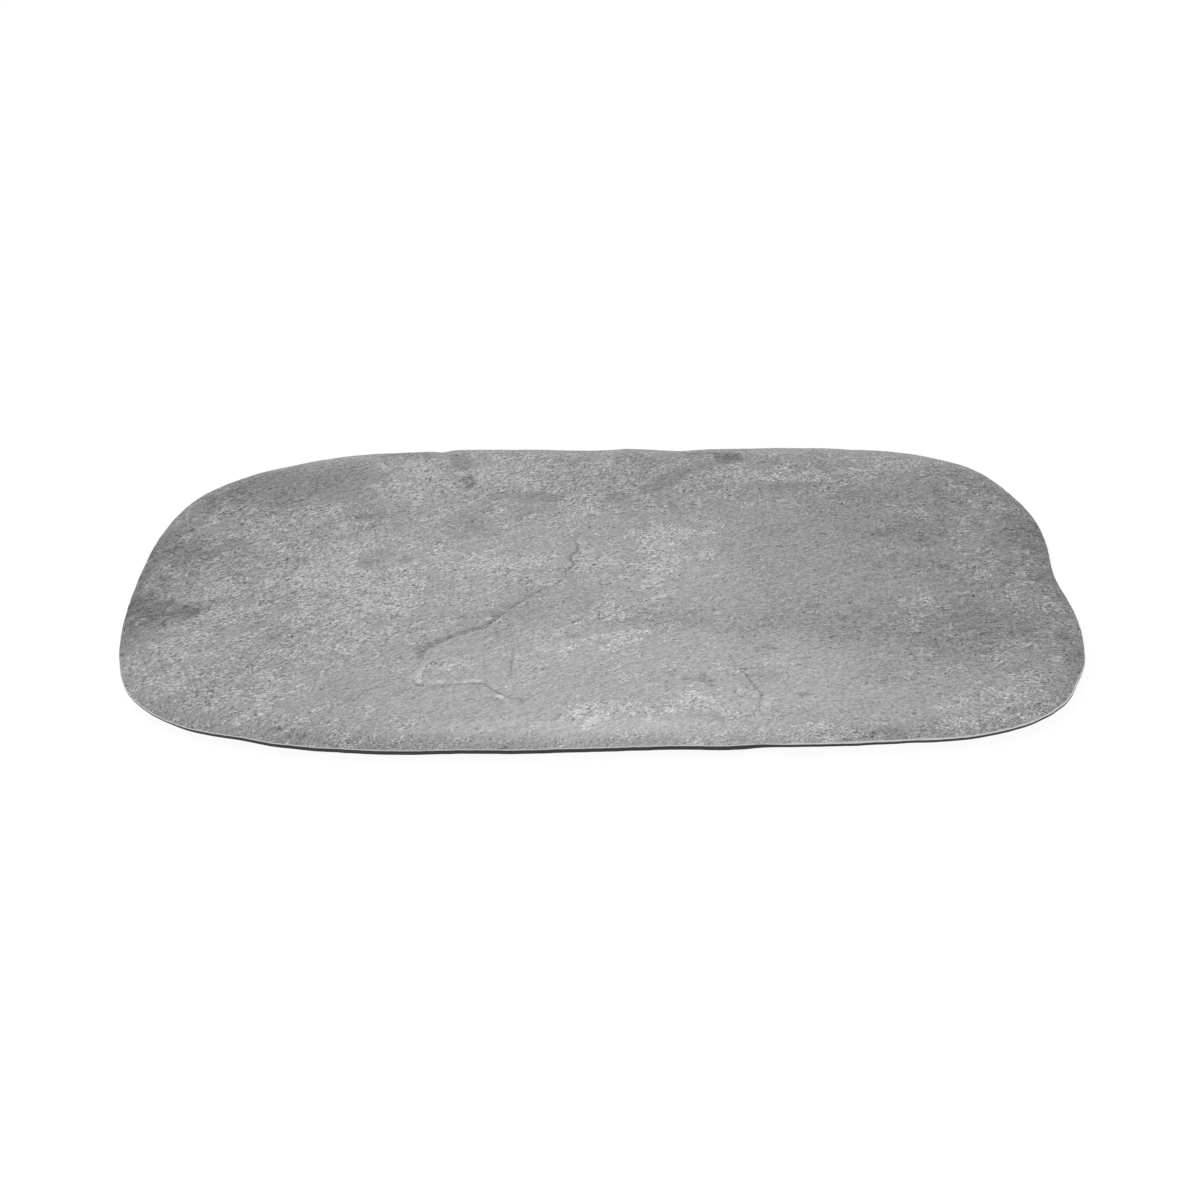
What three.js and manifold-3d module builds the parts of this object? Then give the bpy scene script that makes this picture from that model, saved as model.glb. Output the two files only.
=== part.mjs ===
// A stone-look melamine serving platter: a grey face fused to a black moulded base on four push-in feet.
// Millimetres, +Z up. The table is z = 0 and the origin lies under the middle of the platter.
// +X is the long way, and the side at -Y faces the guest.
import * as THREE from "three";
import { mergeVertices } from "three/addons/utils/BufferGeometryUtils.js";
import Module from "manifold-3d";

// Plan size
const LENGTH = 530;
const WIDTH = 325;

// Heights, from the table up
const FOOT_HEIGHT = 2.0; // how far a foot stands below the base
const SKIRT_HEIGHT = 3.8; // depth of the hollow under the base
const WALL = 3.4; // black moulding above the hollow
const FACE_THICKNESS = 0.8; // grey layer

// Where the four rounded corners of the outline meet: the furthest points of its sides and ends
const BACKMOST_X = 95;
const FRONTMOST_X = -56;
const RIGHTMOST_Y = -10;
const LEFTMOST_Y = -52;

// How square each corner is: 2 is an ellipse, and a larger number is squarer
const BACK_RIGHT_SQUARENESS = 3.4;
const BACK_LEFT_SQUARENESS = 4.2;
const FRONT_LEFT_SQUARENESS = 2.8;
const FRONT_RIGHT_SQUARENESS = 3.8;

// Broad swells and hollows of the whole edge. Turn is in degrees round the outline from its right-hand end,
// push is how far the edge moves out, and reach is how far along the edge the push is felt.
const SWELLS = [
  { turn: 6, push: -3.9, reach: 20 }, // waist of the right-hand end
  { turn: 71, push: -1.3, reach: 12 }, // dip beside the back right corner
  { turn: 112, push: -4.6, reach: 69 }, // long hollow of the back
  { turn: 190, push: -4.5, reach: 25 }, // flat above the front left corner
  { turn: 305, push: -4.2, reach: 68 }, // long hollow of the front
  { turn: 335, push: 5.6, reach: 32 }, // full front right corner
];

// Short chips and bulges of the trimmed rim alone, which die away across the rolled edge
const CHIPS = [
  { turn: 47, push: 1.3, reach: 11 },
  { turn: 79, push: -1.3, reach: 9 },
  { turn: 102, push: -1.7, reach: 9 },
  { turn: 110, push: 0.8, reach: 6 },
  { turn: 133, push: -2.3, reach: 4 },
  { turn: 147, push: -1.0, reach: 10 },
  { turn: 218, push: -0.9, reach: 8 },
  { turn: 312, push: -1.3, reach: 9 },
  { turn: 344, push: -1.2, reach: 8 },
];

// Rolled edge of the face
const ROLL_WIDTH = 14;
const ROLL_DROP = 3.7; // how far the trimmed rim lies below the serving face
const LIP_HEIGHT = 1.3; // black edge that shows below the grey one
const LEAST_LIP = 0.4; // the trimmed rim never wanders lower than this above the lip's underside

// The trimmed rim wanders up and down: whole waves round the platter, their height and where they start
const RIM_WAVES = [
  { count: 15, height: 0.3, start: 0.9 },
  { count: 26, height: 0.2, start: 2.2 },
];

// Underside of the base, measured in from the rim
const LIP_LEDGE = 1.2; // flat underside of the lip
const COVE_WIDTH = 5; // finger cove between the lip and the foot ring
const RING_LAND = 6; // flat bottom of the foot ring
const RING_DRAFT = 0.6; // slope of the ring's inner wall
const RING_FILLET = 1.6; // round between that wall and the ceiling of the hollow

// Feet
const FOOT_FROM_END = 70; // foot's axis to the end of the platter
const FOOT_FROM_SIDE = 55; // foot's axis to the side of the platter
const FOOT_RADIUS = 11;
const FOOT_DRAFT = 0.5; // a foot is this much smaller at the table
const FOOT_EDGE_ROUND = 0.8;
const STEM_RADIUS = 3.3;
const STEM_LENGTH = 4;
const STEM_CHAMFER = 0.6;
const GRIP_HEIGHT = 0.4; // grip ribs stand this far out of the stem
const GRIP_GAP = 0.6; // plain stem below each rib
const GRIP_COUNT = 2;

// Bosses under the base that hold the feet
const BOSS_MARGIN = 2; // boss wall outside the foot
const BOSS_DRAFT = 0.6;
const STEM_CLEARANCE = 0.3; // all round the grip ribs, and above the stem

// Facets
const STATIONS = 130; // even places round the outline
const ROLL_STEPS = 4;
const COVE_STEPS = 4;
const FILLET_STEPS = 2;
const CHIP_STEPS = 2; // extra places on either side of a chip's middle
const ROUND_SEGMENTS = 24;

// Levels worked out from the heights
const CEILING = FOOT_HEIGHT + SKIRT_HEIGHT;
const BOND = CEILING + WALL;
const TOP = BOND + FACE_THICKNESS;
const LIP_LEVEL = BOND - ROLL_DROP - LIP_HEIGHT;

// The smooth outline: four quarters of superellipses, each about the point where its side and end meet
class SlabOutline extends THREE.Curve {
  getPoint(t, target = new THREE.Vector2()) {
    const angle = 2 * Math.PI * t;
    const atRight = Math.cos(angle) >= 0;
    const atBack = Math.sin(angle) >= 0;
    const middleX = atBack ? BACKMOST_X : FRONTMOST_X;
    const middleY = atRight ? RIGHTMOST_Y : LEFTMOST_Y;
    const toEnd = atRight ? LENGTH / 2 - middleX : LENGTH / 2 + middleX;
    const toSide = atBack ? WIDTH / 2 - middleY : WIDTH / 2 + middleY;
    const back = atRight ? BACK_RIGHT_SQUARENESS : BACK_LEFT_SQUARENESS;
    const front = atRight ? FRONT_RIGHT_SQUARENESS : FRONT_LEFT_SQUARENESS;
    const power = atBack ? back : front;
    const endShare = Math.abs(Math.cos(angle) / toEnd) ** power;
    const sideShare = Math.abs(Math.sin(angle) / toSide) ** power;
    const radius = (endShare + sideShare) ** (-1 / power);
    return target.set(middleX + radius * Math.cos(angle), middleY + radius * Math.sin(angle));
  }
}

const slab = new SlabOutline();
slab.arcLengthDivisions = 3600;

// How far a list of swells or chips moves the edge at a point of the smooth outline
function pushAt(point, bumps) {
  let push = 0;
  for (const bump of bumps) {
    const away = point.distanceTo(slab.getPoint(bump.turn / 360));
    push += bump.push * Math.exp(-0.5 * (away / bump.reach) ** 2);
  }
  return push;
}

// Places round the outline, as shares of its length: even steps, with extra ones at the chips
function outlinePlaces() {
  const lengths = slab.getLengths();
  const around = lengths.at(-1);
  const evenStep = 1 / STATIONS;
  const places = [];
  for (let i = 0; i < STATIONS; i += 1) {
    places.push(i * evenStep);
  }
  for (const chip of CHIPS) {
    const centre = lengths[Math.round((chip.turn / 360) * slab.arcLengthDivisions)] / around;
    for (let i = -CHIP_STEPS; i <= CHIP_STEPS; i += 1) {
      places.push(centre + (i * chip.reach) / around);
    }
  }
  places.sort((a, b) => a - b);
  return places.filter((place, i) => i === 0 || place - places[i - 1] > 0.2 * evenStep);
}

// Stations of the real outline, stretched so that it measures exactly LENGTH by WIDTH about the origin
function makeStations() {
  const stations = outlinePlaces().map((place) => {
    const smooth = slab.getPointAt(place);
    const along = slab.getTangentAt(place);
    const outward = new THREE.Vector2(along.y, -along.x);
    const point = smooth.clone().addScaledVector(outward, pushAt(smooth, SWELLS));
    return { place, point, outward, chip: pushAt(smooth, CHIPS) };
  });
  const rim = stations.map(({ point, outward, chip }) => point.clone().addScaledVector(outward, chip));
  const box = new THREE.Box2().setFromPoints(rim);
  const middle = box.getCenter(new THREE.Vector2());
  const stretch = new THREE.Vector2(LENGTH, WIDTH).divide(box.getSize(new THREE.Vector2()));
  stations.forEach((station) => station.point.sub(middle).multiply(stretch));
  return stations;
}

const stations = makeStations();

// How far the trimmed rim lies below the face at a station
function rimDrop(station) {
  let drop = ROLL_DROP;
  for (const wave of RIM_WAVES) {
    drop += wave.height * Math.sin(2 * Math.PI * wave.count * station.place + wave.start);
  }
  return Math.min(drop, ROLL_DROP + LIP_HEIGHT - LEAST_LIP);
}

// One ring round the platter, a given distance in from the rim
function ring(inset, levelAt) {
  const chipShare = Math.max(0, 1 - inset / ROLL_WIDTH);
  return stations.map((station) => {
    const plan = station.point.clone().addScaledVector(station.outward, station.chip * chipShare - inset);
    return new THREE.Vector3(plan.x, plan.y, levelAt(station));
  });
}

const levelRing = (inset, level) => ring(inset, () => level);

// Rings of a face that is flat in the middle and rolls down to the rim, from the flat outwards
function rolledRings(flatLevel) {
  const rings = [];
  for (let i = 0; i <= ROLL_STEPS; i += 1) {
    const share = i / ROLL_STEPS;
    rings.push(ring(ROLL_WIDTH * (1 - share), (station) => flatLevel - rimDrop(station) * share ** 2));
  }
  return rings;
}

// A closed skin through rings that run from the middle of the top, round the edge, to the middle of the underside.
// Each four-sided patch is split along its shorter diagonal, so that skins through the same rings match.
function loft(rings) {
  const count = stations.length;
  const faces = [];
  for (let r = 1; r < rings.length; r += 1) {
    for (let i = 0; i < count; i += 1) {
      const next = (i + 1) % count;
      const [a, b] = [(r - 1) * count + i, r * count + i];
      const [d, c] = [(r - 1) * count + next, r * count + next];
      const splitAC = rings[r - 1][i].distanceTo(rings[r][next]) < rings[r - 1][next].distanceTo(rings[r][i]);
      faces.push(...(splitAC ? [a, b, c, a, c, d] : [a, b, d, b, c, d]));
    }
  }
  const capOf = (points) => THREE.ShapeUtils.triangulateShape(points.map((p) => new THREE.Vector2(p.x, p.y)), []);
  const last = (rings.length - 1) * count;
  capOf(rings[0]).forEach(([a, b, c]) => faces.push(a, b, c));
  capOf(rings.at(-1)).forEach(([a, b, c]) => faces.push(last + a, last + c, last + b));
  const geometry = new THREE.BufferGeometry().setFromPoints(rings.flat());
  return geometry.setIndex(faces);
}

const wasm = await Module();
wasm.setup();

// A geometry as a solid for cutting and joining
function solidOf(geometry) {
  const bare = geometry.clone();
  bare.deleteAttribute("normal");
  bare.deleteAttribute("uv");
  const merged = mergeVertices(bare, 1e-4);
  const vertProperties = merged.attributes.position.array;
  const triVerts = new Uint32Array(merged.index.array);
  return new wasm.Manifold(new wasm.Mesh({ numProp: 3, vertProperties, triVerts }));
}

// A solid back as a geometry
function geometryOf(solid) {
  const mesh = solid.getMesh();
  const geometry = new THREE.BufferGeometry();
  geometry.setAttribute("position", new THREE.BufferAttribute(mesh.vertProperties, mesh.numProp));
  return geometry.setIndex(new THREE.BufferAttribute(mesh.triVerts, 1));
}

// An upright round bar from one level to another
function upright(bottomRadius, topRadius, bottom, top) {
  const bar = new THREE.CylinderGeometry(topRadius, bottomRadius, top - bottom, ROUND_SEGMENTS);
  return bar.rotateX(Math.PI / 2).translate(0, 0, (top + bottom) / 2);
}

// Where the feet stand
const FOOT_X = LENGTH / 2 - FOOT_FROM_END;
const FOOT_Y = WIDTH / 2 - FOOT_FROM_SIDE;
const FOOT_PLACES = {
  front_left: new THREE.Vector3(-FOOT_X, -FOOT_Y, 0),
  front_right: new THREE.Vector3(FOOT_X, -FOOT_Y, 0),
  back_left: new THREE.Vector3(-FOOT_X, FOOT_Y, 0),
  back_right: new THREE.Vector3(FOOT_X, FOOT_Y, 0),
};

// Grey face: a flat sheet that rolls down all round and ends in a square-cut rim
function stoneFace() {
  return loft([...rolledRings(TOP), ...rolledRings(BOND).reverse()]);
}

// Finger cove under the lip: a quarter round that starts level and ends upright at the foot ring
function coveRings() {
  const rings = [];
  for (let i = 0; i <= COVE_STEPS; i += 1) {
    const turn = ((Math.PI / 2) * i) / COVE_STEPS;
    const level = LIP_LEVEL - (LIP_LEVEL - FOOT_HEIGHT) * (1 - Math.cos(turn));
    rings.push(levelRing(LIP_LEDGE + COVE_WIDTH * Math.sin(turn), level));
  }
  return rings;
}

// Inner wall of the foot ring, rounded into the ceiling of the hollow
function hollowRings() {
  const landEnd = LIP_LEDGE + COVE_WIDTH + RING_LAND;
  const rings = [levelRing(landEnd, FOOT_HEIGHT)];
  for (let i = 0; i <= FILLET_STEPS; i += 1) {
    const turn = ((Math.PI / 2) * i) / FILLET_STEPS;
    const inset = landEnd + RING_DRAFT + RING_FILLET * (1 - Math.cos(turn));
    rings.push(levelRing(inset, CEILING - RING_FILLET * (1 - Math.sin(turn))));
  }
  return rings;
}

// Black base: bonded to the face above, hollow below, with a socketed boss over each foot
function blackBase() {
  const bossRadius = FOOT_RADIUS + BOSS_MARGIN;
  const socketRadius = STEM_RADIUS + GRIP_HEIGHT + STEM_CLEARANCE;
  const socketTop = FOOT_HEIGHT + STEM_LENGTH + STEM_CLEARANCE;
  const bossTop = CEILING + WALL / 2;
  const shell = loft([...rolledRings(BOND), levelRing(0, LIP_LEVEL), ...coveRings(), ...hollowRings()]);
  let base = solidOf(shell);
  for (const place of Object.values(FOOT_PLACES)) {
    const boss = upright(bossRadius, bossRadius + BOSS_DRAFT, FOOT_HEIGHT, bossTop);
    const socket = upright(socketRadius, socketRadius, 0, socketTop);
    base = base.add(solidOf(boss.translate(place.x, place.y, 0)));
    base = base.subtract(solidOf(socket.translate(place.x, place.y, 0)));
  }
  return geometryOf(base);
}

// Push-in foot: a drafted disc with a rounded lower edge, and a ribbed stem for the boss's socket
function pushInFoot() {
  const tableRadius = FOOT_RADIUS - FOOT_DRAFT - FOOT_EDGE_ROUND;
  const stemTop = FOOT_HEIGHT + STEM_LENGTH;
  const gripPitch = (STEM_LENGTH - STEM_CHAMFER) / GRIP_COUNT;
  const profile = new THREE.Path().moveTo(0, 0).lineTo(tableRadius, 0);
  profile.absarc(tableRadius, FOOT_EDGE_ROUND, FOOT_EDGE_ROUND, -Math.PI / 2, 0, false);
  profile.lineTo(FOOT_RADIUS, FOOT_HEIGHT).lineTo(STEM_RADIUS, FOOT_HEIGHT);
  for (let i = 0; i < GRIP_COUNT; i += 1) {
    const gripFoot = FOOT_HEIGHT + i * gripPitch + GRIP_GAP;
    profile.lineTo(STEM_RADIUS, gripFoot);
    profile.lineTo(STEM_RADIUS + GRIP_HEIGHT, gripFoot);
    profile.lineTo(STEM_RADIUS, FOOT_HEIGHT + (i + 1) * gripPitch);
  }
  profile.lineTo(STEM_RADIUS - STEM_CHAMFER, stemTop).lineTo(0, stemTop);
  return new THREE.LatheGeometry(profile.getPoints(2), ROUND_SEGMENTS).rotateX(Math.PI / 2);
}

function pieceMesh(name, geometry, color, roughness) {
  const mesh = new THREE.Mesh(geometry, new THREE.MeshStandardMaterial({ color, roughness, metalness: 0 }));
  mesh.name = name;
  return mesh;
}

const platter = new THREE.Group();
platter.add(pieceMesh("stone_face", stoneFace(), 0x9f9f9f, 0.6));
platter.add(pieceMesh("black_base", blackBase(), 0x2c2c2c, 0.5));
for (const [corner, place] of Object.entries(FOOT_PLACES)) {
  const foot = pieceMesh(`foot_${corner}`, pushInFoot(), 0x3a3a3a, 0.8);
  foot.position.copy(place);
  platter.add(foot);
}

export default platter;
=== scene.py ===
# %% [markdown]
# A stone-look melamine platter.
# The real object is a thin moulded slab: a grey face, printed and embossed like weathered stone, is fused
# to a black moulding, and four silicone feet push into the black underside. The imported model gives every
# size and place, in metres. This script models the same pieces again with finer meshes and gives each its
# finish.

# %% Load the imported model
import math

import bpy
import numpy as np
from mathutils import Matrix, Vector, kdtree, noise
from mathutils.geometry import delaunay_2d_cdt


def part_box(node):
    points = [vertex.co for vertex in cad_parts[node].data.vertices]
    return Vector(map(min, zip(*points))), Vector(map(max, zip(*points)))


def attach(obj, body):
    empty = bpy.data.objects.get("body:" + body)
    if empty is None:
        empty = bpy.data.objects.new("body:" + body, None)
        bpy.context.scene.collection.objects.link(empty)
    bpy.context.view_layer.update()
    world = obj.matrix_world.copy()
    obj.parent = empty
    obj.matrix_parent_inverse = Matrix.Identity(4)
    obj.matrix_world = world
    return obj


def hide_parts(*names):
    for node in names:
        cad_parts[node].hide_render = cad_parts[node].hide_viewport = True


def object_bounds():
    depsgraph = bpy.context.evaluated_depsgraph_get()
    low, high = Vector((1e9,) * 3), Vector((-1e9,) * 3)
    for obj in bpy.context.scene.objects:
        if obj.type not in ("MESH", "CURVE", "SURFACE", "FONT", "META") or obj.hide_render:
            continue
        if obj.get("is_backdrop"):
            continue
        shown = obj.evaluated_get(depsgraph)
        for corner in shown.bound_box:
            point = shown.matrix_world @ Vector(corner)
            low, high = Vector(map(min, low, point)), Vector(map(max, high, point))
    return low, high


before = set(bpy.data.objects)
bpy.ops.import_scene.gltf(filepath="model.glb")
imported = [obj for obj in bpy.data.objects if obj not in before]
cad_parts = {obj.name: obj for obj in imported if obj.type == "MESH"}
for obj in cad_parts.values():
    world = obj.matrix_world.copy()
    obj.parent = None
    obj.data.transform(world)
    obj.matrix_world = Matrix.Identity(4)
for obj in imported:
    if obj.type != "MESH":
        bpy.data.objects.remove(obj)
cad_low, cad_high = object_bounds()
MM = 0.001  # metres in a millimetre
TOP = cad_high.z
print("packed pieces:", ", ".join(sorted(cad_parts)))
print("packed box in mm:", [round(side / MM, 1) for side in cad_high - cad_low])

# %% [markdown]
# The trimmed rim.
# On the real platter the outline is uneven, as if a slab had been broken to shape, and everything follows
# it: the face rolls down to it and the black lip hangs below it. It could be traced again by hand, but the
# packed face already holds it as the corners of its upright cut edge. They are picked out by the faces that
# look sideways, put in order round the platter, and a smooth closed curve is run through them.

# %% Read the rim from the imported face
SIDEWAYS = 0.2  # a face whose normal rises less than this looks sideways
MICRON = 6  # decimals of a metre


def cut_edge_corners(mesh):
    """Plan corner -> levels, for the corners of the faces that look sideways."""
    levels = {}
    for face in mesh.polygons:
        if abs(face.normal.z) < SIDEWAYS:
            for index in face.vertices:
                corner = mesh.vertices[index].co
                key = (round(corner.x, MICRON), round(corner.y, MICRON))
                levels.setdefault(key, []).append(corner.z)
    return levels


corner_levels = cut_edge_corners(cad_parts["stone_face"].data)
corners = sorted(corner_levels, key=lambda corner: math.atan2(corner[1], corner[0]))
packed_rim = np.array([(x, y, max(corner_levels[x, y])) for x, y in corners])
edge_heights = [max(levels) - min(levels) for levels in corner_levels.values()]
FACE_THICKNESS = float(np.mean(edge_heights))
print("rim corners:", len(packed_rim), " face thickness in mm:", round(FACE_THICKNESS / MM, 2))


# %% Run a smooth closed curve through the rim
RIM_STEP = 1.2 * MM


def smooth_loop(points, step):
    """Points about one step apart on a smooth closed curve through the given points."""
    closed = np.vstack([points, points[:1]])
    chords = np.linalg.norm(np.diff(closed, axis=0), axis=1)
    along = np.concatenate([[0.0], np.cumsum(chords)])
    before, after = np.roll(points, 1, axis=0), np.roll(points, -1, axis=0)
    slope = (after - before) / (np.roll(chords, 1) + chords)[:, None]
    slope = np.vstack([slope, slope[:1]])
    wanted = np.linspace(0.0, along[-1], int(along[-1] / step), endpoint=False)
    span = np.searchsorted(along, wanted, side="right") - 1
    width = chords[span][:, None]
    t = ((wanted - along[span]) / chords[span])[:, None]
    start = (2 * t**3 - 3 * t**2 + 1) * closed[span] + (t**3 - 2 * t**2 + t) * width * slope[span]
    end = (3 * t**2 - 2 * t**3) * closed[span + 1] + (t**3 - t**2) * width * slope[span + 1]
    return start + end


def outward_of(loop):
    """Unit plan vectors that point out of a closed loop that runs anticlockwise."""
    ahead = np.roll(loop, -1, axis=0) - np.roll(loop, 1, axis=0)
    out = np.column_stack([ahead[:, 1], -ahead[:, 0]])
    return out / np.linalg.norm(out, axis=1)[:, None]


rim = smooth_loop(packed_rim, RIM_STEP)
rim_outward = outward_of(rim)
print("rim points:", len(rim), " length in mm:", round(len(rim) * RIM_STEP / MM))

# %% [markdown]
# Hand-trimmed unevenness.
# A moulded stone edge is never quite smooth: it wavers by a fraction of a millimetre. Two scales of noise,
# read at each rim point, push the rim in and out and up and down a little. Noise is used because it gives
# the same answer on every run. A seed moves the place where it is read, so that no two uses agree.

# %% Roughen the rim
RIM_WAVER = ((0.012, 0.25 * MM), (0.004, 0.12 * MM))  # length of a waver, and how far it pushes
RIM_RISE = 0.6  # share of the push that also goes up and down
SEED_SHIFT = (17.3, -9.1, 5.7)
SEEDS = {
    "rim_out": 3, "rim_up": 13, "crack_bend": 21, "crack_strength": 25, "crack_band": 26,
    "heave": 31, "flake_step": 41, "flake_fray": 42, "patch_break": 51,
}


def noise_at(points, size, seed):
    """Noise from about -1 to 1 at each point, with lumps about one size across."""
    shift = Vector([part * seed for part in SEED_SHIFT])
    return np.array([noise.noise(Vector(point) / size + shift) for point in points])


for number, (size, push) in enumerate(RIM_WAVER):
    out = push * noise_at(rim, size, SEEDS["rim_out"] + number)
    rim[:, :2] += rim_outward * out[:, None]
    rim[:, 2] += RIM_RISE * push * noise_at(rim, size, SEEDS["rim_up"] + number)
print("rim box in mm:", np.round((rim.max(0) - rim.min(0)) / MM, 2))

# %% [markdown]
# Cracks in the face.
# The stone that the mould copies has a few cracks, and the longest is the edge of a flake that stands a
# little proud. On the moulding they are mostly print, with a faint groove and step in the face under it.
# They could be drawn with noise, but noise puts them anywhere. So each is a short list of given points, in
# millimetres on the plan, with its strength there, because a crack fades and opens along its length. It dies
# out at its ends, and a wobble keeps it from looking drawn.

# %% List the cracks
CRACK_STEP = 0.5 * MM
CRACK_TAPER = 3 * MM  # a crack dies out over this far at its ends
LIFT_TAPER = 18 * MM  # and its proud side over this far
CRACK_BEND = ((0.006, 0.4 * MM), (0.002, 0.3 * MM))  # length of a wobble, and how far it pushes
STRENGTH_SWING = (0.004, 0.20)  # the strength varies along a crack: length, and share
BAND_SWING = (0.003, 0.25)  # and so does the width of its dark band
# Points are x, y, strength and the width of the dark band, which lies on the right of the path as it runs.
# In millimetres: the depth of the groove, the reach of the shade beside it, and the lift of the left side
CRACKS = {
    "flake_edge": {
        "points": [
            (-18, 47, 0.6, 0.9), (-15, 40, 0.9, 1.0), (-12, 34, 0.8, 0.9), (-13.5, 33, 0.9, 1.2),
            (-12, 28, 1.2, 1.5), (-16, 22, 0.9, 1.5), (-17, 17, 1.0, 1.5), (-14, 13, 1.1, 2.0),
            (-17, 8, 1.2, 1.6), (-19.5, 3, 0.5, 1.0), (-19, -2, 0.5, 0.9), (-26, -11, 0.7, 1.0),
            (-33, -15.5, 0.8, 1.0), (-42, -26, 0.7, 1.0), (-45, -29, 0.7, 1.5), (-50, -35.5, 0.8, 1.8),
            (-56, -44, 0.8, 1.8), (-63, -55, 0.9, 2.4), (-67.5, -56.5, 0.8, 2.8), (-72, -58.5, 0.8, 3.4),
            (-78.5, -63, 0.8, 4.0), (-84.5, -67.5, 0.8, 4.4), (-90, -72, 0.8, 5.4), (-94, -77.5, 0.8, 6.5),
            (-95, -82.5, 0.8, 3.4), (-94.5, -87, 0.6, 1.4)],
        "depth": 0.05, "soft": 5.0, "lift": 0.04},
    "lower_left_crack": {
        "points": [
            (-99, -107, 0.6, 0.9), (-96, -110, 0.7, 0.9), (-91, -111, 0.8, 1.3), (-85, -110.5, 0.6, 0.8),
            (-76, -109, 0.5, 0.7), (-69, -108, 0.6, 0.7), (-61, -108.5, 1.0, 1.2), (-57, -113, 0.8, 0.9),
            (-53, -117, 0.8, 1.0), (-46, -122, 0.8, 0.9), (-41, -122, 0.8, 0.9), (-40, -126, 0.8, 0.9),
            (-40.5, -128.5, 0.5, 0.7)],
        "depth": 0.14, "soft": 1.5, "lift": 0.14},
    "lower_right_crack": {
        "points": [
            (68, -77, 0.3, 0.7), (72, -89, 0.7, 0.8), (77, -100, 0.7, 0.9), (80.5, -108, 0.9, 1.4),
            (84.5, -119, 0.7, 1.0), (81.5, -130, 0.6, 0.7), (79, -136, 0.7, 0.9), (81, -143, 0.5, 0.7),
            (79, -149, 0.2, 0.5)],
        "depth": 0.05, "soft": 1.5, "lift": 0.03},
    "short_crack": {
        "points": [(-45, -75, 0.3, 1.2), (-47, -85, 0.6, 1.6), (-46.5, -95, 0.6, 1.6), (-48, -104, 0.3, 1.0)],
        "depth": 0.04, "soft": 2.0, "lift": 0.02},
}
print("cracks listed:", len(CRACKS))

# %% Smooth the cracks into paths
STRENGTH, BAND = 2, 3  # columns of a path


def crack_path(points, step):
    """A fine path of (x, y, strength, band, rise) through a few points, with a slight wobble."""
    knots = np.array(points, float) * (MM, MM, 1.0, MM)
    chords = np.linalg.norm(np.diff(knots[:, :2], axis=0), axis=1)
    lengths = np.concatenate([[0.0], np.cumsum(chords)])
    wanted = np.arange(0.0, lengths[-1], step)
    path = np.column_stack([np.interp(wanted, lengths, column) for column in knots.T])
    flat = np.column_stack([path[:, :2], np.zeros(len(path))])
    for number, (size, push) in enumerate(CRACK_BEND):
        for axis in (0, 1):
            path[:, axis] += push * noise_at(flat, size, SEEDS["crack_bend"] + 2 * number + axis)
    path[:, STRENGTH] *= 1.0 + STRENGTH_SWING[1] * noise_at(flat, STRENGTH_SWING[0], SEEDS["crack_strength"])
    path[:, BAND] *= 1.0 + BAND_SWING[1] * noise_at(flat, BAND_SWING[0], SEEDS["crack_band"])
    to_an_end = np.minimum(wanted, lengths[-1] - wanted)
    path[:, STRENGTH] *= np.clip(to_an_end / CRACK_TAPER, 0, 1)
    rise = np.clip(to_an_end / LIFT_TAPER, 0, 1)
    return np.column_stack([path, rise])


crack_paths = {name: crack_path(crack["points"], CRACK_STEP) for name, crack in CRACKS.items()}
for name, path in crack_paths.items():
    print(name, "is", round(len(path) * CRACK_STEP / MM), "mm long")

# %% [markdown]
# The grey face.
# It is a sheet, flat in the middle, that rolls down to the rim. A ring mesh would crowd its points in the
# middle, so the plan is filled with an even triangular grid instead: rings of points follow the rim closely,
# where the roll and the rounded arris need them, rows of points fill the rest, extra points line the cracks,
# and a Delaunay triangulation joins them. Each point is then lifted to its height.

# %% Spread points over the plan of the face
ROLL_WIDTH = 14 * MM
RING_INSETS = [0.0, 0.25 * MM, 0.6 * MM, 1.2 * MM, 2.2 * MM, 3.4 * MM, 4.8 * MM]
GRID_STEP = 1.6 * MM
GRID_INSET = 5.8 * MM  # the even grid stays this far inside the rim
CRACK_SIDE_STEPS = [step * MM for step in (-4.6, -3.8, -3.0, -2.2, -1.5, -0.9, -0.4, 0.0, 0.4, 1.0)]
CRACK_CLEAR = 0.5 * GRID_STEP  # grid points nearer than this to a crack's own points are left out
TINY = 1e-12  # keeps a length of nothing from dividing


def plan_tree(points):
    """A quick finder of the nearest point on the plan."""
    tree = kdtree.KDTree(len(points))
    for index, point in enumerate(points):
        tree.insert((point[0], point[1], 0.0), index)
    tree.balance()
    return tree


rim_tree = plan_tree(rim)


def inset_and_rim(points):
    """How far in from the rim each plan point lies, and the rim point nearest to it."""
    found = [rim_tree.find((x, y, 0.0)) for x, y in points]
    return np.array([hit[2] for hit in found]), np.array([hit[1] for hit in found])


def even_rows(low, high, step):
    """Points in staggered rows, one step apart."""
    rows = []
    for number, y in enumerate(np.arange(low.y, high.y, step * math.sqrt(0.75))):
        xs = np.arange(low.x, high.x, step) + (step / 2 if number % 2 else 0.0)
        rows.append(np.column_stack([xs, np.full(len(xs), y)]))
    return np.vstack(rows)


def beside(path):
    """Points on a crack and in lines on either side of it."""
    ahead = np.gradient(path, axis=0)
    across = np.column_stack([-ahead[:, 1], ahead[:, 0]])
    across /= np.linalg.norm(across, axis=1)[:, None] + TINY
    return np.vstack([path + across * step for step in CRACK_SIDE_STEPS])


def inside_rim(points):
    """Which points lie inside the rim, by the side of the nearest rim point's outward vector."""
    distance, nearest = inset_and_rim(points)
    toward = np.einsum("ij,ij->i", points - rim[nearest, :2], rim_outward[nearest])
    return (toward < 0) & (distance > GRID_INSET)


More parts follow.
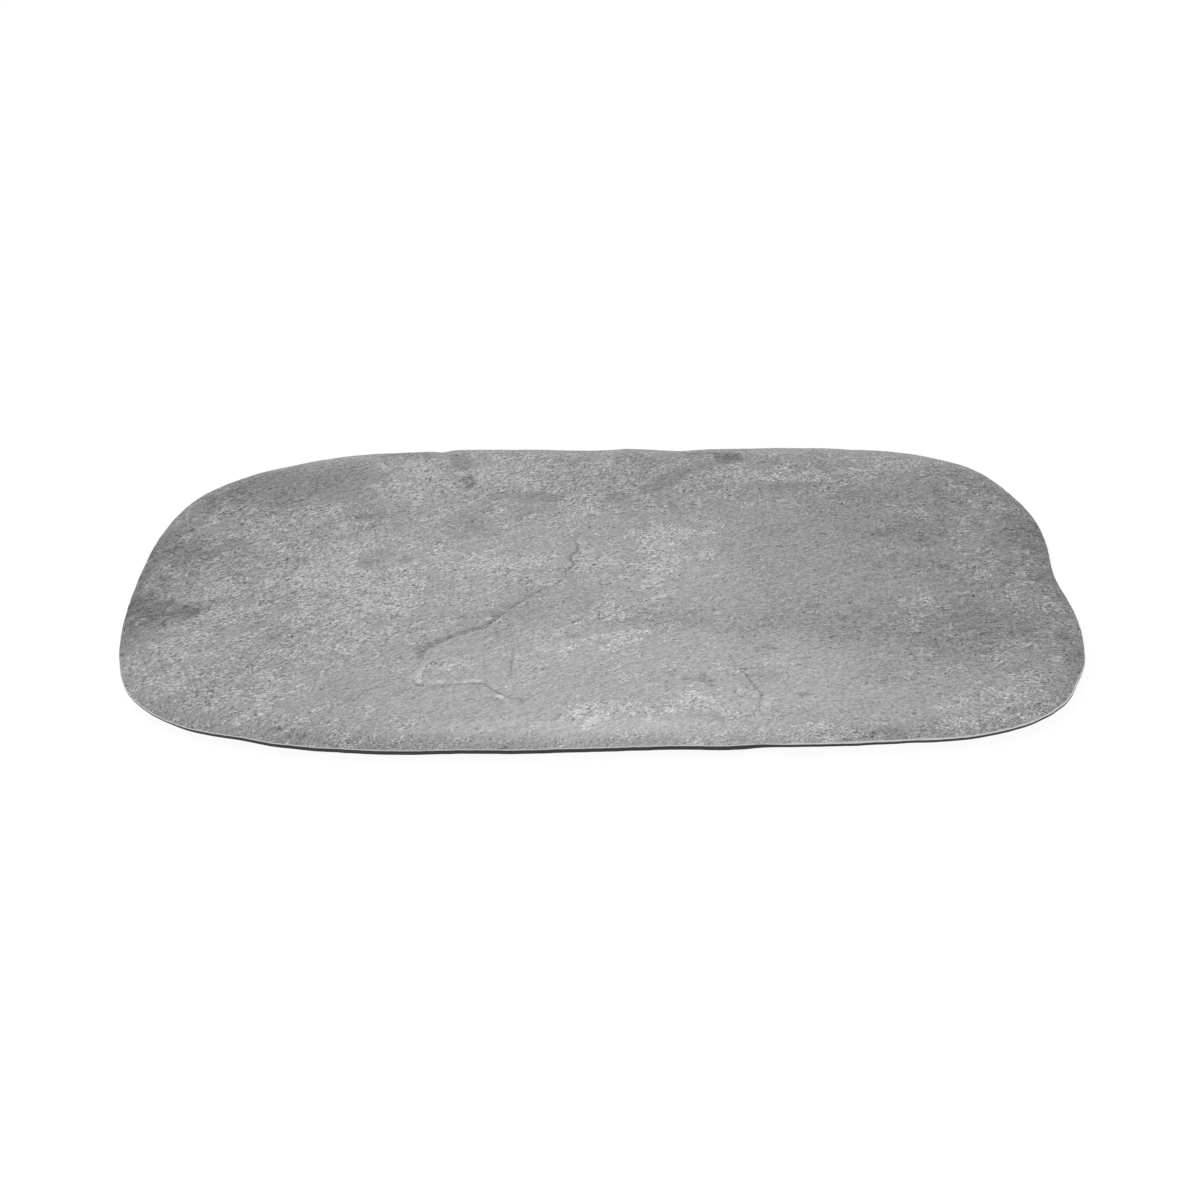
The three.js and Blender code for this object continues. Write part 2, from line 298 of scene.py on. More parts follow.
rings = np.vstack([rim[:, :2] - rim_outward * inset for inset in RING_INSETS])
grid = even_rows(cad_low, cad_high, GRID_STEP)
grid = grid[inside_rim(grid)]
crack_points = np.vstack([beside(path[:, :2]) for path in crack_paths.values()])
crack_tree = plan_tree(crack_points)
clear_of_cracks = np.array([crack_tree.find((x, y, 0.0))[2] > CRACK_CLEAR for x, y in grid])
plan = np.vstack([rings, grid[clear_of_cracks], crack_points])
print("plan points:", len(plan), "of which beside cracks:", len(crack_points))

# %% Join the points into triangles
INSIDE_ONLY = 1  # keep only the triangles inside the rim
ONE_POINT = 1e-7  # points nearer than this are one

rim_edges = [(index, (index + 1) % len(rim)) for index in range(len(rim))]
joined = delaunay_2d_cdt([Vector(point) for point in plan], rim_edges, [], INSIDE_ONLY, ONE_POINT)
face_plan = np.array([tuple(point) for point in joined[0]])
face_triangles = [list(triangle) for triangle in joined[2]]
rim_index = np.full(len(rim), -1)
for made, sources in enumerate(joined[3]):
    for source in sources:
        if source < len(rim):
            rim_index[source] = made
print("face triangles:", len(face_triangles), " rim points kept:", int((rim_index >= 0).sum()))

# %% [markdown]
# Heights of the face.
# Four things set the height of a point: the roll towards the rim, the gentle heave of the stone, its flake
# steps, and the cracks. The heave is noise of a few sizes. A flake step is noise pushed through a steep
# curve, so that it reads as one thin layer lying on another. All but the roll fade at the rim, so the cut
# edge keeps its line.

# %% Lift the face
ARRIS_DROP, ARRIS_WIDTH = 0.14 * MM, 0.6 * MM  # the rounded corner between the face and its cut edge
HEAVE = ((0.060, 0.16 * MM), (0.018, 0.07 * MM), (0.006, 0.035 * MM))  # lump size, and height
FLAKE_SIZE = 0.030
FLAKE_STEP = 0.12 * MM
FLAKE_STEEP = 9.0
FLAKE_FRAY = (0.005, 0.3)  # the edge of a flake frays: size of the fray, and its share
RELIEF_FADE = 3.0 * MM
RELIEF_SINK = 0.22 * MM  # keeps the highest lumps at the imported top

face_inset, face_nearest = inset_and_rim(face_plan)
roll = np.clip(1 - face_inset / ROLL_WIDTH, 0, 1)
rolled = TOP - (TOP - rim[face_nearest, 2]) * roll**2
flat_points = np.column_stack([face_plan, np.zeros(len(face_plan))])
heave = np.zeros(len(face_plan))
for number, (size, height) in enumerate(HEAVE):
    heave += height * noise_at(flat_points, size, SEEDS["heave"] + number)
flake_noise = noise_at(flat_points, FLAKE_SIZE, SEEDS["flake_step"])
flake_noise += FLAKE_FRAY[1] * noise_at(flat_points, FLAKE_FRAY[0], SEEDS["flake_fray"])
heave += FLAKE_STEP / 2 * np.tanh(FLAKE_STEEP * flake_noise)
print("heave of the stone in mm:", round(heave.min() / MM, 2), "to", round(heave.max() / MM, 2))

# %% Cut the cracks
LIFT_REACH = 9 * MM  # a proud flake dies away over about this far
CRACK_LINE = 0.5 * MM
HALO = 0.35  # strength of the shade beside a crack
BAND_EDGE = (0.5 * MM, 0.2)  # soft edge of the band: a least width, and a share of the band added to it
BAND_FADE = 0.3  # how much paler the band is on its far side


def beside_path(path, points):
    """Each point's distance from a path, its side (1 is left), and the strength, band and rise there."""
    tree = plan_tree(path)
    found = [tree.find((x, y, 0.0)) for x, y in points]
    nearest = np.array([hit[1] for hit in found])
    ahead = np.gradient(path[:, :2], axis=0)[nearest]
    offset = points - path[nearest, :2]
    side = np.sign(ahead[:, 0] * offset[:, 1] - ahead[:, 1] * offset[:, 0])
    return np.array([hit[2] for hit in found]), side, *path[nearest, STRENGTH:].T


crack_mark = np.zeros(len(face_plan))
crack_relief = np.zeros(len(face_plan))
for name, path in crack_paths.items():
    crack = CRACKS[name]
    distance, side, strength, band, rise = beside_path(path, face_plan)
    right = side <= 0
    line = np.clip(1 - distance / CRACK_LINE, 0, 1)
    edge = BAND_EDGE[0] + BAND_EDGE[1] * band
    floor_of_band = np.where(right, np.clip((band - distance) / edge + 0.5, 0, 1), 0.0)
    floor_of_band *= 1 - BAND_FADE * np.clip(distance / band, 0, 1)
    halo = np.where(right, HALO * np.exp(-distance / (crack["soft"] * MM)), 0.0)
    groove = strength * np.maximum(line, floor_of_band)
    proud = strength * rise * np.where(right, 0.0, np.exp(-distance / LIFT_REACH))
    crack_mark = np.maximum(crack_mark, np.maximum(groove, strength * halo))
    crack_relief += MM * (crack["lift"] * proud - crack["depth"] * groove)
fade = np.clip(face_inset / RELIEF_FADE, 0, 1)
arris = ARRIS_DROP * np.clip(1 - face_inset / ARRIS_WIDTH, 0, 1) ** 2
face_height = rolled + fade * (heave + crack_relief - RELIEF_SINK) - arris
print("face heights in mm:", round(face_height.min() / MM, 2), "to", round(face_height.max() / MM, 2))


# %% Close the face with its cut edge and underside
def add_piece(name, vertices, faces, smooth_angle=35):
    """A new mesh object with smooth shading that breaks at sharp edges."""
    mesh = bpy.data.meshes.new(name)
    mesh.from_pydata([tuple(map(float, vertex)) for vertex in vertices], [], faces)
    mesh.validate()
    mesh.update()
    mesh.shade_smooth()
    mesh.set_sharp_from_angle(angle=math.radians(smooth_angle))
    piece = bpy.data.objects.new(name, mesh)
    bpy.context.scene.collection.objects.link(piece)
    print(name, "vertices:", len(mesh.vertices), "faces:", len(mesh.polygons))
    return piece


def strip(upper, lower):
    """Four-sided faces between two closed rings of vertex numbers, facing out or down."""
    count = len(upper)
    return [[upper[i], lower[i], lower[(i + 1) % count], upper[(i + 1) % count]] for i in range(count)]


BOND = TOP - FACE_THICKNESS
count = len(rim)
cut_foot = np.column_stack([rim[:, :2], rim[:, 2] - FACE_THICKNESS])
under_ring = np.column_stack([rim[:, :2] - rim_outward * ROLL_WIDTH, np.full(count, BOND)])
face_vertices = np.vstack([np.column_stack([face_plan, face_height]), cut_foot, under_ring])
foot_start = len(face_plan)
cut_foot_index = list(range(foot_start, foot_start + count))
under_index = list(range(foot_start + count, foot_start + 2 * count))
face_faces = face_triangles + strip(list(map(int, rim_index)), cut_foot_index)
face_faces += strip(cut_foot_index, under_index) + [under_index[::-1]]
stone_face = add_piece("stone_face_finish", face_vertices, face_faces)

# %% [markdown]
# Cloudy patches.
# Weathered stone is lighter where it has flaked and darker where it is stained, in soft patches from a
# fingertip to a hand across. Noise alone puts them anywhere, so the main ones are placed one by one. Each is
# an oval: a centre, two half lengths, a turn and a strength. There are five lists, for five kinds of mark:
# flaked and stained patches with broken edges, places where the flakes are missing, dark places worn smooth,
# broad washes, and small spots and chips. The broad washes make the face lighter across the front and the
# middle and darker towards the right, the left and the back, and along the front roll they lay a painted
# highlight. The ovals could be nodes, but here they are painted on the mesh, one number for each vertex,
# which the finish reads by name.

# %% List the flaked and the stained patches
# Centre x and y, half length and half width in millimetres, turn in degrees, strength: pale is above zero
PATCHES = [
    # back left
    (-240, 76, 14, 14, 0, -0.040),
    (-194, 86, 12, 10, 0, -0.020),
    (-152, 132, 14, 10, 0, -0.020),
    (-144, 88, 10, 22, 0, -0.030),
    (-120, 150, 18, 7, 0, -0.045),
    (-131, 63, 20, 12, 0, -0.035),
    (-165, 80, 14, 8, 0, 0.045),
    (-108, 115, 12, 30, 12, 0.045),
    (-208, 74, 14, 9, 0, -0.025),
    # back middle
    (-58, 118, 28, 14, 0, 0.050),
    (-77, 56, 14, 18, 0, -0.035),
    (-67, 77, 12, 7, 0, -0.030),
    (-45, 65, 8, 9, 0, -0.028),
    (-10, 88, 9, 16, 0, 0.030),
    (24, 138, 12, 10, 0, -0.030),
    (-62, 98, 20, 14, 0, -0.020),
    (-8, 154, 18, 6, 0, -0.025),
    (24, 62, 12, 12, 0, -0.025),
    (66, 150, 14, 7, 0, -0.030),
    (86, 116, 14, 14, 0, 0.035),
    # back right
    (112, 122, 28, 9, 5, 0.060),
    (108, 102, 26, 12, 5, -0.020),
    (236, 106, 28, 10, -45, -0.050),
    (205, 86, 22, 10, 0, -0.020),
    (162, 122, 10, 12, 0, 0.030),
    (182, 136, 24, 10, -10, 0.025),
    (222, 92, 20, 14, -20, -0.030),
    (204, 128, 24, 8, -30, -0.035),
    (244, 60, 18, 16, 0, -0.015),
    # left
    (-250, 24, 26, 18, 0, -0.040),
    (-222, 30, 22, 12, 0, -0.030),
    (-182, 14, 12, 11, 0, -0.040),
    (-126, 18, 15, 11, 0, -0.045),
    (-146, 28, 12, 12, 0, 0.035),
    (-138, -2, 34, 18, 0, 0.050),
    (-122, -30, 20, 14, 0, 0.050),
    (-147, -45, 16, 8, 0, 0.030),
    (-245, -38, 30, 18, 0, -0.095),
    (-264, -20, 13, 70, 0, -0.070),
    (-256, 46, 18, 26, 0, -0.050),
    (-258, 4, 10, 16, 0, -0.030),
    (-208, -20, 12, 9, 0, 0.060),
    (-252, -74, 12, 18, 0, -0.020),
    (-214, 4, 10, 16, 0, -0.025),
    (-210, -48, 18, 6, 12, 0.040),
    (-178, -54, 14, 9, 0, -0.025),
    (-140, -40, 24, 16, 0, 0.035),
    (-176, -8, 36, 11, 0, 0.025),
    (-160, 44, 36, 12, 0, -0.020),
    # middle
    (-92, 20, 11, 14, 20, 0.045),
    (-57, 14, 26, 13, 0, 0.045),
    (2, 48, 11, 18, 15, -0.030),
    (36, 42, 20, 20, 0, 0.070),
    (2, 14, 16, 13, 0, 0.045),
    (38, 4, 14, 16, 0, 0.045),
    (-109, -2, 9, 6, 0, 0.060),
    (95, 35, 30, 34, 0, -0.020),
    (-43, -42, 8, 10, 0, -0.030),
    (-68, -46, 10, 10, 0, -0.030),
    (-8, -26, 12, 14, 0, -0.020),
    (8, -34, 8, 10, 0, 0.030),
    (45, -46, 30, 9, 0, -0.030),
    (80, -54, 44, 10, 5, -0.030),
    (-18, -58, 12, 6, 10, -0.030),
    (105, -38, 34, 7, 0, -0.030),
    (12, -66, 14, 8, 15, 0.060),
    (-21, -69, 26, 5, 24, 0.060),
    (28, -138, 12, 6, 0, 0.060),
    (14, -103, 7, 5, 0, 0.080),
    (-45, -70, 20, 10, 15, -0.020),
    (-22, 16, 16, 12, 0, 0.030),
    (-30, -9, 14, 8, 0, 0.025),
    (60, 52, 14, 12, 0, 0.020),
    # right
    (190, 50, 34, 11, 0, -0.020),
    (256, 42, 20, 34, 0, -0.040),
    (256, -6, 14, 18, 0, -0.040),
    (186, 13, 26, 9, 0, -0.035),
    (168, 33, 26, 9, 0, 0.030),
    (176, -10, 26, 40, 0, 0.020),
    (137, -38, 12, 6, 0, -0.030),
    (256, -78, 12, 20, 0, -0.040),
    (218, 5, 10, 9, 0, 0.080),
    (216, -50, 34, 15, 0, -0.025),
    (214, -68, 12, 14, 0, -0.030),
    (182, -36, 14, 16, 0, 0.030),
    (186, -74, 18, 11, 20, -0.025),
    (140, -56, 20, 7, -5, -0.025),
    # front
    (-232, -84, 11, 16, 0, 0.035),
    (-226, -106, 12, 9, 0, 0.040),
    (-176, -118, 32, 22, 0, 0.030),
    (-118, -115, 26, 12, 0, -0.025),
    (-145, -62, 34, 16, 15, 0.020),
    (-236, -98, 10, 10, 0, -0.030),
    (-90, -94, 16, 8, 10, 0.030),
    (57, -128, 16, 10, -5, 0.110),
    (0, -135, 18, 8, 0, 0.150),
    (86, -100, 18, 14, 0, -0.045),
    (51, -108, 11, 8, 0, -0.045),
    (55, -140, 9, 7, 0, -0.030),
    (60, -78, 60, 16, 0, -0.012),
    (20, -46, 10, 9, 0, -0.025),
    (122, -98, 26, 14, 0, -0.025),
    (94, -76, 14, 3, 5, -0.040),
    (192, -122, 22, 9, 20, 0.035),
    (216, -112, 16, 12, 30, 0.040),
    (228, -132, 16, 8, 35, 0.080),
    (148, -98, 12, 18, 0, -0.025),
    (195, -136, 24, 8, 15, 0.055),
    (112, -149, 20, 7, 0, 0.045),
]
print("patches:", len(PATCHES))

# %% List the places with few flakes
# The strength is how many flakes are missing, and below zero there are more
SMOOTH_PATCHES = [
    (-75, -118, 70, 22, -6, 0.5),
    (-62, -62, 34, 11, 20, 1.0),
    (-20, -20, 30, 14, 30, 0.6),
    (110, -66, 80, 18, 5, 0.6),
    (130, 50, 70, 40, -10, 0.6),
    (-180, 112, 50, 28, 15, 0.9),
    (-150, -112, 40, 20, 10, 0.6),
    (248, -122, 14, 9, 50, 1.0),
    (130, -120, 40, 14, 0, 0.5),
    (20, -115, 110, 40, 0, 0.15),
    (170, -110, 70, 40, 0, 0.35),
    (105, -12, 60, 36, 0, 0.5),
    (-40, -148, 60, 10, 0, 0.6),
    (25, -148, 30, 10, 0, 0.5),
    (175, 0, 55, 60, 0, 0.5),
    (185, 100, 35, 22, 0, 0.6),
    (-195, 10, 90, 110, 0, -0.3),
    (-190, -100, 60, 40, 0, -0.2),
    (-40, 110, 110, 45, 0, -0.3),
]
print("smooth patches:", len(SMOOTH_PATCHES))

# %% List the dark places that are worn smooth, with clear edges
WORN = [
    (-160, 110, 20, 24, -20, -0.036),
    (-81, 110, 3, 10, -10, -0.110),
    (-87, 138, 7, 13, 8, -0.055),
    (40, 113, 24, 8, 47, -0.050),
    (63, 131, 12, 7, 40, -0.035),
    (79, 143, 10, 8.5, 10, -0.110),
    (115, 107, 13, 5, 5, -0.035),
    (13, 90, 7, 5, 30, -0.045),
    (-138, 118, 8, 6, 0, -0.030),
    (-38, 91, 16, 6, 0, -0.038),
    (107, 137, 9, 3, 5, -0.045),
    (140, 129, 7, 5, -20, -0.050),
]
print("worn places:", len(WORN))

# %% List the broad washes
WASHES = [
    # painted highlight along the front roll
    (-20, -148, 110, 9, 0, 0.050),
    (-122, 152, 22, 8, -5, -0.050),
    (-8, 156, 20, 5, 0, -0.030),
    (20, -156, 25, 4, 0, -0.030),
    (-228, 93, 16, 14, 0, -0.030),
    (185, -22, 25, 18, 0, 0.020),
    (40, 78, 10, 9, 0, -0.022),
    (224, -97, 14, 10, 0, -0.020),
    (88, 150, 14, 8, 0, -0.025),
    (252, 72, 10, 25, 0, -0.028),
    (-258, -62, 8, 20, 0, -0.028),
    (105, 52, 16, 10, 0, -0.020),
    (175, 34, 18, 10, 0, 0.020),
    (210, 72, 12, 10, 0, -0.020),
    (-200, 106, 55, 26, 22, -0.042),
    (-218, 112, 28, 18, 30, -0.036),
    (-192, 122, 10, 14, 0, -0.025),
    (-125, 45, 22, 8, -30, -0.018),
    (150, 5, 45, 35, 0, 0.022),
    (165, -139, 40, 14, 8, 0.028),
    (25, -135, 38, 8, 0, 0.020),
    (95, -51, 60, 10, 0, -0.012),
    (-130, -91, 35, 10, 10, -0.014),
    (165, 92, 30, 12, 0, -0.020),
    (200, 110, 22, 14, -20, -0.030),
    (10, -108, 170, 60, 0, 0.097),
    # painted highlight along the front roll, in two more bands
    (20, -152, 140, 16, 0, 0.030),
    (60, -150, 150, 10, 0, 0.014),
    (-195, 0, 95, 110, 0, -0.012),
    (225, 20, 130, 130, 0, -0.068),
    (-240, 60, 80, 110, 0, -0.028),
    (-30, 0, 160, 80, 0, 0.040),
    (60, 110, 130, 50, 0, -0.030),
    (131, -150, 13, 5, 0, -0.045),
    (150, -149, 9, 5, 0, -0.045),
    (172, -144, 7, 3, 0, -0.035),
    (167, -153, 8, 4, 0, 0.050),
    (-163, -148, 18, 7, -10, -0.020),
]
print("washes:", len(WASHES))

# %% List the dark spots and the pale chips
SPOTS = [
    (106, -118, 4.0, 2.2, 0, -0.12),
    (-40, -5.5, 1.8, 1.8, 0, -0.13),
    (-226, 11, 3.0, 6.0, 25, -0.05),
    (-172, -18, 2.6, 2.6, 0, -0.08),
    (-147, -2, 3.0, 2.2, 0, -0.09),
    (-241, -52, 3.4, 2.8, 0, -0.10),
    (213, 9, 4.0, 2.5, 0, -0.08),
    (-105, 115, 3.0, 2.2, -20, -0.10),
    (-48, -161, 1.6, 1.4, 0, -0.16),
    (-56, -122, 1.6, 1.6, 0, -0.15),
    (-52.5, -124, 2.6, 1.4, -30, -0.10),
    (-64.5, -114, 1.2, 3.4, 0, -0.07),
    (-30, -95, 1.4, 1.4, 0, -0.13),
    (-66, -123, 1.6, 1.6, 0, -0.12),
    (-52, -120, 2.4, 1.8, -20, 0.28),
    (-65.5, -106, 4.0, 1.6, 0, 0.20),
    (-71, -107, 2.0, 1.5, 0, 0.18),
    (-77, -107, 1.6, 1.4, 0, 0.14),
    (-84, -106.5, 3.2, 2.0, 10, 0.17),
    (-90, -107, 1.4, 1.6, 0, 0.12),
    (-95.5, -106.5, 2.2, 1.8, 0, 0.18),
    (-155, 17, 1.6, 1.6, 0, 0.12),
    (-102, 10, 1.6, 1.4, 0, 0.12),
    (82, -148, 3.0, 1.4, 60, 0.16),
    (81, -140, 2.0, 3.0, 0, 0.12),
    (86.5, -127, 2.2, 3.0, 0, 0.12),
    (-62, -45, 2.4, 2.0, -45, 0.11),
    (-66.5, -35, 2.2, 2.6, 0, 0.09),
    (-78, -54.5, 2.6, 1.6, 0, 0.10),
    (-13.5, 18, 1.4, 1.4, 0, 0.16),
    (-13.5, 23, 1.6, 1.2, 0, 0.12),
    (-13.5, 21, 1.0, 1.4, 0, -0.13),
    (-163.5, -148, 2.4, 1.4, -20, -0.16),
    (-157, -149, 1.8, 1.4, -30, -0.14),
    (-158, -153, 1.8, 1.2, 0, -0.14),
    (-151.5, -153, 2.6, 1.4, 0, -0.14),
    (-177, -137, 1.2, 2.4, 20, -0.18),
    (-174, -136, 1.8, 2.2, 0, 0.09),
    (-166, -145, 3.0, 1.6, 0, 0.07),
    (-67, -143, 2.4, 1.2, -10, -0.09),
    (-87.5, -144.5, 1.8, 1.2, 0, -0.08),
    (139, -151.5, 2.6, 1.6, 0, -0.10),
    (131, -150, 4.0, 1.4, 10, -0.07),
    (147, -152, 2.2, 1.6, 0, -0.08),
    (150, -149, 3.0, 1.4, 0, -0.07),
    (123, -155, 2.6, 1.4, 0, -0.09),
    (154.5, -156, 1.6, 1.2, 0, -0.09),
]
print("spots and chips:", len(SPOTS))

# %% [markdown]
# Painting the patches.
# An oval with a clean edge looks drawn. On the real print the edges are ragged, so the patches are read at
# places that noise of three sizes has pushed about. The worn places are pushed less and have crisper edges.
# The washes and the spots are read where they lie.

# %% Break up the plan and paint an oval
PATCH_BREAK = ((0.030, 8.0), (0.012, 10.0), (0.0045, 6.0))  # size of the noise in metres, push in mm
EDGE_OUTSIDE = 0.3  # share of a soft edge that lies outside the oval


def painted(patches, points, softness=0.85):
    """The sum of the ovals at each point; softness is the share of an oval that is its fading edge."""
    total = np.zeros(len(points))
    for x, y, half_length, half_width, turn, strength in patches:
        turn = math.radians(turn)
        along = (points[:, 0] - x) * math.cos(turn) + (points[:, 1] - y) * math.sin(turn)
        aside = (points[:, 1] - y) * math.cos(turn) - (points[:, 0] - x) * math.sin(turn)
        from_centre = np.hypot(along / half_length, aside / half_width)
        reach = np.clip((1 + EDGE_OUTSIDE * softness - from_centre) / softness, 0, 1)
        total += strength * reach**2 * (3 - 2 * reach)
    return total


plain_plan = face_plan / MM
broken_plan = plain_plan.copy()
for number, (size, push) in enumerate(PATCH_BREAK):
    for axis in (0, 1):
        broken_plan[:, axis] += push * noise_at(flat_points, size, SEEDS["patch_break"] + 2 * number + axis)
pushed = np.linalg.norm(broken_plan - plain_plan, axis=1)
print("patches are pushed by up to", round(float(pushed.max()), 1), "mm")

# %% Paint the patches on the mesh
PATCH_FULL = 0.06  # a patch of this tone has all its flakes, or none
LIGHT_WASH, DARK_WASH = 0.35, 0.90  # share of a patch that is an even wash; the rest is flakes and stains
WORN_PUSH, WORN_SOFTNESS = 0.4, 0.3
WORN_FULL = 0.03  # a worn place of this tone has no flakes
FEWER_IN_DARK, FEWER_AT_CRACKS = 0.5, 1.2
IN_PATCH = 0.3

worn_plan = plain_plan + WORN_PUSH * (broken_plan - plain_plan)
patch_tone = painted(PATCHES, broken_plan)
light_mark = np.clip(patch_tone / PATCH_FULL, 0, 1)
dark_mark = np.clip(-patch_tone / PATCH_FULL, 0, 1)
worn_tone = painted(WORN, worn_plan, WORN_SOFTNESS)
worn_mark = np.clip(-worn_tone / WORN_FULL, 0, 1)
flake_mark = light_mark - FEWER_IN_DARK * dark_mark - worn_mark - FEWER_AT_CRACKS * crack_mark
flake_mark -= painted(SMOOTH_PATCHES, broken_plan)
patch_wash = np.where(patch_tone > 0, LIGHT_WASH, DARK_WASH) * patch_tone
wash_mark = painted(WASHES, plain_plan) + patch_wash + worn_tone + painted(SPOTS, plain_plan)
print("share of the face in a light patch:", round(float((light_mark > IN_PATCH).mean()), 2))
print("share in a dark one:", round(float((dark_mark > IN_PATCH).mean()), 2))

# %% Store the marks for the finish
# Width of the pale rim from left to right, in millimetres
RIM_BAND = ((-265, 0.8), (90, 0.8), (125, 2.2), (250, 2.2), (265, 1.0))


def mark(piece, name, values, rest):
    """Stores one number for each vertex, for a material to read by name; the last ones take the rest."""
    layer = piece.data.attributes.new(name, "FLOAT", "POINT")
    padded = np.full(len(piece.data.vertices), rest, np.float32)
    padded[: len(values)] = values
    layer.data.foreach_set("value", padded)


mark(stone_face, "crack_mark", crack_mark, 0.0)
mark(stone_face, "dark_mark", dark_mark, 0.0)
mark(stone_face, "flake_mark", flake_mark, 0.0)
mark(stone_face, "wash_mark", wash_mark, 0.0)
mark(stone_face, "roll_mark", roll, 1.0)
band_places, band_widths = np.array(RIM_BAND).T
rim_band = MM * np.interp(face_plan[:, 0] / MM, band_places, band_widths)
mark(stone_face, "rim_mark", np.clip(1 - face_inset / rim_band, 0, 1), 1.0)
mark(stone_face, "cut_mark", np.zeros(len(face_plan)), 1.0)
print("marks:", [layer.name for layer in stone_face.data.attributes if layer.name.endswith("_mark")])

# %% [markdown]
# The black base.
# Seen from above it is only a thin dark line under the face, but it is the body of the platter: a lip, a
# cove for the fingers, a foot ring and a shallow hollow. Each is a ring that follows the rim at its own
# inset and level, so the base is lofted through rings from the bond under the face, round the lip, to the
# ceiling of the hollow. The lip isn't even: along the front it is deepest right of the middle and thins
# out towards both ends.

# %% Set the depth of the lip round the rim
# Places from left to right along the front, and the depth of the lip there, in millimetres
FRONT_LIP = (
    (-265, 0.5), (-225, 0.7), (-205, 1.4), (-130, 2.1), (40, 2.1),
    (74, 2.4), (92, 1.4), (200, 1.3), (265, 0.9))
BACK_LIP = 1.3
FRONT_FADE = (-20.0, -90.0)  # from the first place to the second, the front depth takes over
BASE_STEP = 2  # every second rim point is enough here

base_rim = rim[::BASE_STEP]
base_outward = rim_outward[::BASE_STEP]


def lip_depth(points):
    """Depth of the lip at each rim point."""
    places, depths = np.array(FRONT_LIP).T
    front = np.interp(points[:, 0] / MM, places, depths)
    share = np.clip((points[:, 1] / MM - FRONT_FADE[0]) / (FRONT_FADE[1] - FRONT_FADE[0]), 0, 1)
    return MM * (BACK_LIP + share * (front - BACK_LIP))


lip_top = base_rim[:, 2] - FACE_THICKNESS
lip_level = lip_top - lip_depth(base_rim)
print("lip underside in mm:", round(lip_level.min() / MM, 2), "to", round(lip_level.max() / MM, 2))

# %% Draw the profile of the base, from the bond round to the ceiling
base_low, base_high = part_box("black_base")
RING_LEVEL = base_low.z
LIP_LEDGE = 1.2 * MM
LIP_ROUND = 0.3 * MM
COVE_WIDTH = 5 * MM
RING_LAND = 6 * MM
RING_DRAFT = 0.6 * MM
RING_ROUND = 0.7 * MM
CEILING = 5.8 * MM
FILLET = 1.6 * MM
ROUND_STEPS, FILLET_STEPS, COVE_STEPS = 3, 5, 7


def quarter(steps, first=0):
    """(1 - cosine, 1 - sine) of the angles of a quarter turn: from (0, 1) to (1, 0)."""
    angles = [math.pi / 2 * step / steps for step in range(first, steps + 1)]
    return [(1 - math.cos(angle), 1 - math.sin(angle)) for angle in angles]


cove_rise = lip_level - RING_LEVEL - RING_ROUND
land_start = LIP_LEDGE + COVE_WIDTH
land_end = land_start + RING_LAND
hollow_start = land_end + RING_DRAFT
profile = [(ROLL_WIDTH, np.full(len(base_rim), BOND)), (0.0, lip_top)]
profile += [(LIP_ROUND * c, lip_level + LIP_ROUND * s) for c, s in quarter(ROUND_STEPS)]
profile += [(LIP_LEDGE + COVE_WIDTH * (1 - s), lip_level - cove_rise * c) for c, s in quarter(COVE_STEPS)]
profile += [(land_start + RING_ROUND * c, RING_LEVEL + RING_ROUND * s) for c, s in quarter(ROUND_STEPS, 1)]
profile += [(land_end - RING_ROUND * s, RING_LEVEL + RING_ROUND * c) for c, s in quarter(ROUND_STEPS)]
profile += [(hollow_start + FILLET * c, CEILING - FILLET * s) for c, s in quarter(FILLET_STEPS)]
print("rings of the base:", len(profile))


# %% Loft the base through the rings
def closed_stack(rings):
    """Strips between rings that follow each other, with the first and the last one filled."""
    sides = [face for upper, lower in zip(rings, rings[1:]) for face in strip(upper, lower)]
    return [rings[0]] + sides + [rings[-1][::-1]]


base_vertices = []
for inset, level in profile:
    ring_plan = base_rim[:, :2] - base_outward * inset
    base_vertices.append(np.column_stack([ring_plan, np.broadcast_to(level, len(base_rim))]))
ring_count = len(base_rim)
ring_index = [list(range(i * ring_count, (i + 1) * ring_count)) for i in range(len(profile))]
base_faces = closed_stack(ring_index)
base_vertices = np.vstack(base_vertices)
print("points in a ring:", ring_count)

# %% [markdown]
# Bosses and feet.
# A boss stands down from the ceiling over each foot, and the foot's stem is pushed into it. All of them are
# round, so each is a profile turned about its axis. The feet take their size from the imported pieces.

# %% Draw the profiles of a boss and a foot
foot_low, foot_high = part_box("foot_front_left")
FOOT_RADIUS = (foot_high.x - foot_low.x) / 2
TREAD_ROUND = 0.8 * MM
FOOT_DRAFT = 0.5 * MM
STEM_RADIUS = 3.3 * MM
BOSS_MARGIN = 2 * MM
BOSS_DRAFT = 0.6 * MM
BOSS_ROUND = 0.4 * MM
BOSS_FILLET = 1.2 * MM
BOSS_STEPS = 4
SINK = 0.5 * MM  # how far a boss reaches into the ceiling

boss_radius = FOOT_RADIUS + BOSS_MARGIN
boss_root = boss_radius + BOSS_DRAFT
tread_radius = FOOT_RADIUS - FOOT_DRAFT
boss_outline = [(boss_root + BOSS_FILLET, CEILING + SINK)]
boss_outline += [(boss_root + BOSS_FILLET * s, CEILING - BOSS_FILLET * c) for c, s in quarter(BOSS_STEPS)]
boss_outline += [(boss_radius - BOSS_ROUND * c, RING_LEVEL + BOSS_ROUND * s) for c, s in quarter(ROUND_STEPS)]
foot_outline = [(STEM_RADIUS, foot_high.z), (STEM_RADIUS, RING_LEVEL), (FOOT_RADIUS, RING_LEVEL)]
foot_outline += [(tread_radius - TREAD_ROUND * c, TREAD_ROUND * s) for c, s in quarter(FILLET_STEPS)]
print("boss across, in mm:", round(2 * boss_radius / MM, 1), " foot:", round(2 * FOOT_RADIUS / MM, 1))

# %% Turn the bosses and the feet
TURN_STEPS = 64


